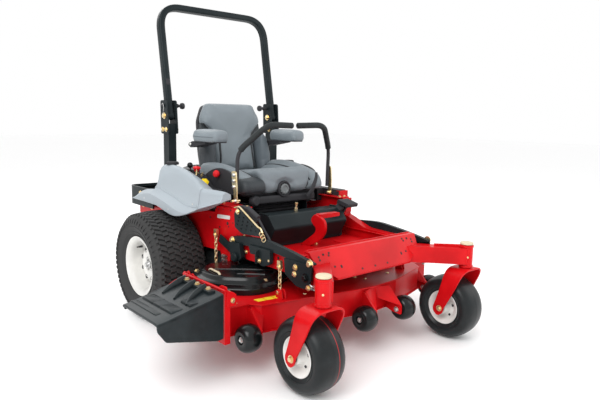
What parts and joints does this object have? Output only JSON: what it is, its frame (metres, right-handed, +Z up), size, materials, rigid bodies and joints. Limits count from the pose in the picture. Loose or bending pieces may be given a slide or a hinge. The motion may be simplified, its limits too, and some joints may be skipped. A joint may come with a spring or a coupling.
{
  "type": "zero turn mower",
  "caption": "Ride-on zero turn mower: red frame, side-discharge deck, twin rear drive wheels, front casters, grey seat and tanks, folding roll bar and control levers.",
  "frame": {"origin": "on the ground at the middle of the whole machine's box, deflector down", "axes": "+Z up, the machine drives towards -Y, +X is the operator's left; its middle plane is at x = 0.164 m and its drive axle at y = 0.364 m"},
  "size_m": [1.872, 2.108, 1.82],
  "materials": {
    "red_paint": "gloss",
    "tank_plastic": "satin moulded",
    "charcoal_steel": "satin powder coat",
    "black_plastic": "fine texture",
    "seat_vinyl": "grained vinyl",
    "tyre_rubber": "matte",
    "rim_paint": "satin",
    "zinc_plate": "yellow zinc plate",
    "chute_rubber": "moulded",
    "blade_steel": "worn",
    "engine_black": "satin"
  },
  "bodies": {
    "frame": {"frame_rail_right": "red_paint", "frame_rail_left": "red_paint", "front_crossmember": "red_paint", "caster_arm_right": "red_paint", "caster_arm_left": "red_paint", "floor_pan": "red_paint", "rear_bumper": "red_paint", "engine_guard": "charcoal_steel", "engine": "engine_black", "rops_post_right": "charcoal_steel", "rops_post_left": "charcoal_steel", "fuel_tank_right": "tank_plastic", "fuel_tank_left": "tank_plastic", "console_right": "black_plastic", "console_left": "black_plastic", "seat_panel": "black_plastic", "seat_base": "black_plastic", "seat_cushion": "seat_vinyl", "seat_back": "seat_vinyl", "pedal_arm": "red_paint", "foot_pad": "black_plastic", "side_strut_right": "charcoal_steel", "side_strut_left": "charcoal_steel", "height_plate": "charcoal_steel", "wheel_motor_right": "charcoal_steel", "wheel_motor_left": "charcoal_steel"},
    "roll_bar": {"rops_hoop": "charcoal_steel"},
    "drive_wheel_right": {"drive_tyre_right": "tyre_rubber", "drive_rim_right": "rim_paint"},
    "caster_right": {"caster_fork_right": "red_paint"},
    "caster_wheel_right": {"caster_tyre_right": "tyre_rubber", "caster_rim_right": "rim_paint"},
    "control_lever_right": {"lever_right": "black_plastic", "lever_bracket_right": "zinc_plate"},
    "armrest_right": {"armrest_right": "seat_vinyl"},
    "drive_wheel_left": {"drive_tyre_left": "tyre_rubber", "drive_rim_left": "rim_paint"},
    "caster_left": {"caster_fork_left": "red_paint"},
    "caster_wheel_left": {"caster_tyre_left": "tyre_rubber", "caster_rim_left": "rim_paint"},
    "control_lever_left": {"lever_left": "black_plastic", "lever_bracket_left": "zinc_plate"},
    "armrest_left": {"armrest_left": "seat_vinyl"},
    "deck": {"deck_shell": "red_paint", "belt_cover_right": "black_plastic", "belt_cover_left": "black_plastic"},
    "chute": {"chute": "chute_rubber"},
    "blade_right": {"blade_right": "blade_steel"},
    "blade_centre": {"blade_centre": "blade_steel"},
    "blade_left": {"blade_left": "blade_steel"},
    "roller_right": {"roller_right": "black_plastic"},
    "roller_centre_right": {"roller_centre_right": "black_plastic"},
    "roller_centre_left": {"roller_centre_left": "black_plastic"},
    "roller_left": {"roller_left": "black_plastic"}
  },
  "joints": [
    {"name": "roll_bar_fold", "type": "hinge", "parent": "frame", "child": "roll_bar", "pos_m": [0.164, 0.529, 1.146], "axis": [-1, 0, 0], "range_deg": [0, 100]},
    {"name": "drive_spin_right", "type": "hinge", "parent": "frame", "child": "drive_wheel_right", "pos_m": [-0.387, 0.364, 0.305], "axis": [1, 0, 0], "continuous": true},
    {"name": "caster_swivel_right", "type": "hinge", "parent": "frame", "child": "caster_right", "pos_m": [-0.345, -0.968, 0.45], "axis": [0, 0, 1], "continuous": true},
    {"name": "caster_spin_right", "type": "hinge", "parent": "caster_right", "child": "caster_wheel_right", "pos_m": [-0.345, -0.887, 0.167], "axis": [1, 0, 0], "continuous": true},
    {"name": "lever_swing_right", "type": "hinge", "parent": "frame", "child": "control_lever_right", "pos_m": [-0.166, -0.107, 0.705], "axis": [1, 0, 0], "range_deg": [-12, 20]},
    {"name": "armrest_fold_right", "type": "hinge", "parent": "frame", "child": "armrest_right", "pos_m": [-0.12, 0.406, 0.985], "axis": [-1, 0, 0], "range_deg": [0, 90]},
    {"name": "drive_spin_left", "type": "hinge", "parent": "frame", "child": "drive_wheel_left", "pos_m": [0.715, 0.364, 0.305], "axis": [1, 0, 0], "continuous": true},
    {"name": "caster_swivel_left", "type": "hinge", "parent": "frame", "child": "caster_left", "pos_m": [0.673, -0.968, 0.45], "axis": [0, 0, 1], "continuous": true},
    {"name": "caster_spin_left", "type": "hinge", "parent": "caster_left", "child": "caster_wheel_left", "pos_m": [0.673, -0.887, 0.167], "axis": [1, 0, 0], "continuous": true},
    {"name": "lever_swing_left", "type": "hinge", "parent": "frame", "child": "control_lever_left", "pos_m": [0.494, -0.107, 0.705], "axis": [1, 0, 0], "range_deg": [-12, 20]},
    {"name": "armrest_fold_left", "type": "hinge", "parent": "frame", "child": "armrest_left", "pos_m": [0.448, 0.406, 0.985], "axis": [-1, 0, 0], "range_deg": [0, 90]},
    {"name": "deck_lift", "type": "slide", "parent": "frame", "child": "deck", "axis": [0, 0, 1], "range_m": [-0.09, 0]},
    {"name": "chute_flip", "type": "hinge", "parent": "deck", "child": "chute", "pos_m": [-0.604, -0.468, 0.416], "axis": [0, 1, 0], "range_deg": [0, 90]},
    {"name": "blade_spin_right", "type": "hinge", "parent": "deck", "child": "blade_right", "pos_m": [-0.338, -0.296, 0.222], "axis": [0, 0, 1], "continuous": true},
    {"name": "blade_spin_centre", "type": "hinge", "parent": "deck", "child": "blade_centre", "pos_m": [0.164, -0.456, 0.222], "axis": [0, 0, 1], "continuous": true},
    {"name": "blade_spin_left", "type": "hinge", "parent": "deck", "child": "blade_left", "pos_m": [0.666, -0.296, 0.222], "axis": [0, 0, 1], "continuous": true},
    {"name": "roller_spin_right", "type": "hinge", "parent": "deck", "child": "roller_right", "pos_m": [-0.482, -0.646, 0.191], "axis": [1, 0, 0], "continuous": true},
    {"name": "roller_spin_centre_right", "type": "hinge", "parent": "deck", "child": "roller_centre_right", "pos_m": [0.104, -0.794, 0.191], "axis": [1, 0, 0], "continuous": true},
    {"name": "roller_spin_centre_left", "type": "hinge", "parent": "deck", "child": "roller_centre_left", "pos_m": [0.383, -0.802, 0.191], "axis": [1, 0, 0], "continuous": true},
    {"name": "roller_spin_left", "type": "hinge", "parent": "deck", "child": "roller_left", "pos_m": [0.81, -0.646, 0.191], "axis": [1, 0, 0], "continuous": true}
  ]
}
